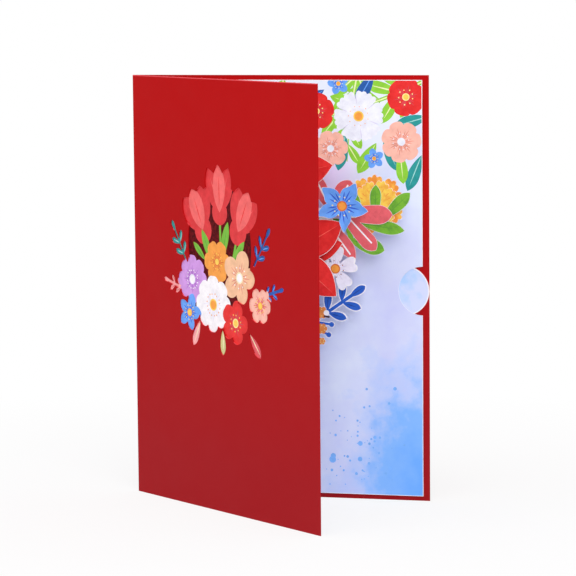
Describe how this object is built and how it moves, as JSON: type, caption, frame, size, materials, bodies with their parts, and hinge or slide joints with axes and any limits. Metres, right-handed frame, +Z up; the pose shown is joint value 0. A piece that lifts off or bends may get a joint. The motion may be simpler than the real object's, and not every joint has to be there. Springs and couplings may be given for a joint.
{
  "type": "greeting card",
  "caption": "Folded greeting card with a die-cut cover window, a pocket with a note card, and a pop-up paper bouquet.",
  "frame": {"origin": "middle of the standing card's footprint, on the surface that it stands on", "axes": "+Z up along the spine; +X along the back cover, away from the spine; -Y towards the reader, on the side of the opened front cover"},
  "size_m": [0.127, 0.0808, 0.178],
  "materials": {
    "cover_card": "satin red card",
    "picture_board": "printed picture board with a dark red ground",
    "printed_lining": "printed paper, pale lavender with painted leaves",
    "tape": "double-sided paper tape",
    "note_card": "pale blue clouded card",
    "platform_card": "pale lavender card",
    "marigold_orange": "printed orange card with white cut edges",
    "marigold_yellow": "printed yellow card with white cut edges",
    "leaf_green": "printed green card",
    "leaf_coral": "printed coral card with white veins",
    "daisy_white": "printed white card",
    "sprig_blue": "printed blue card with white edges",
    "berry_orange": "printed orange and blue card",
    "bloom_red": "printed red card, creased",
    "foam": "white foam tape",
    "star_blue": "printed blue card",
    "bloom_peach": "printed peach card",
    "star_lilac": "printed lilac card"
  },
  "bodies": {
    "root": {"cover": "cover_card", "picture_board": "picture_board", "front_lining": "printed_lining", "back_lining": "printed_lining", "pocket_tape": "tape", "note_card": "note_card", "popup_platform": "platform_card", "gutter_web": "platform_card", "marigold_outer": "marigold_orange", "marigold_inner": "marigold_yellow", "green_leaves": "leaf_green", "coral_leaves": "leaf_coral", "daisy": "daisy_white", "blue_sprig": "sprig_blue", "berry_sprig": "berry_orange", "red_bloom_outer": "bloom_red", "red_bloom_inner": "bloom_red", "red_bloom_back": "bloom_red", "bloom_pad": "foam", "bloom_inner_pad": "foam", "bloom_back_pad": "foam", "blue_star": "star_blue", "star_pad": "foam", "front_leaves": "leaf_green", "front_coral_leaves": "leaf_coral", "front_daisy": "daisy_white", "peach_bloom_outer": "bloom_peach", "peach_bloom_inner": "bloom_peach", "lilac_star": "star_lilac", "peach_pad": "foam", "lilac_pad": "foam"}
  },
  "joints": []
}
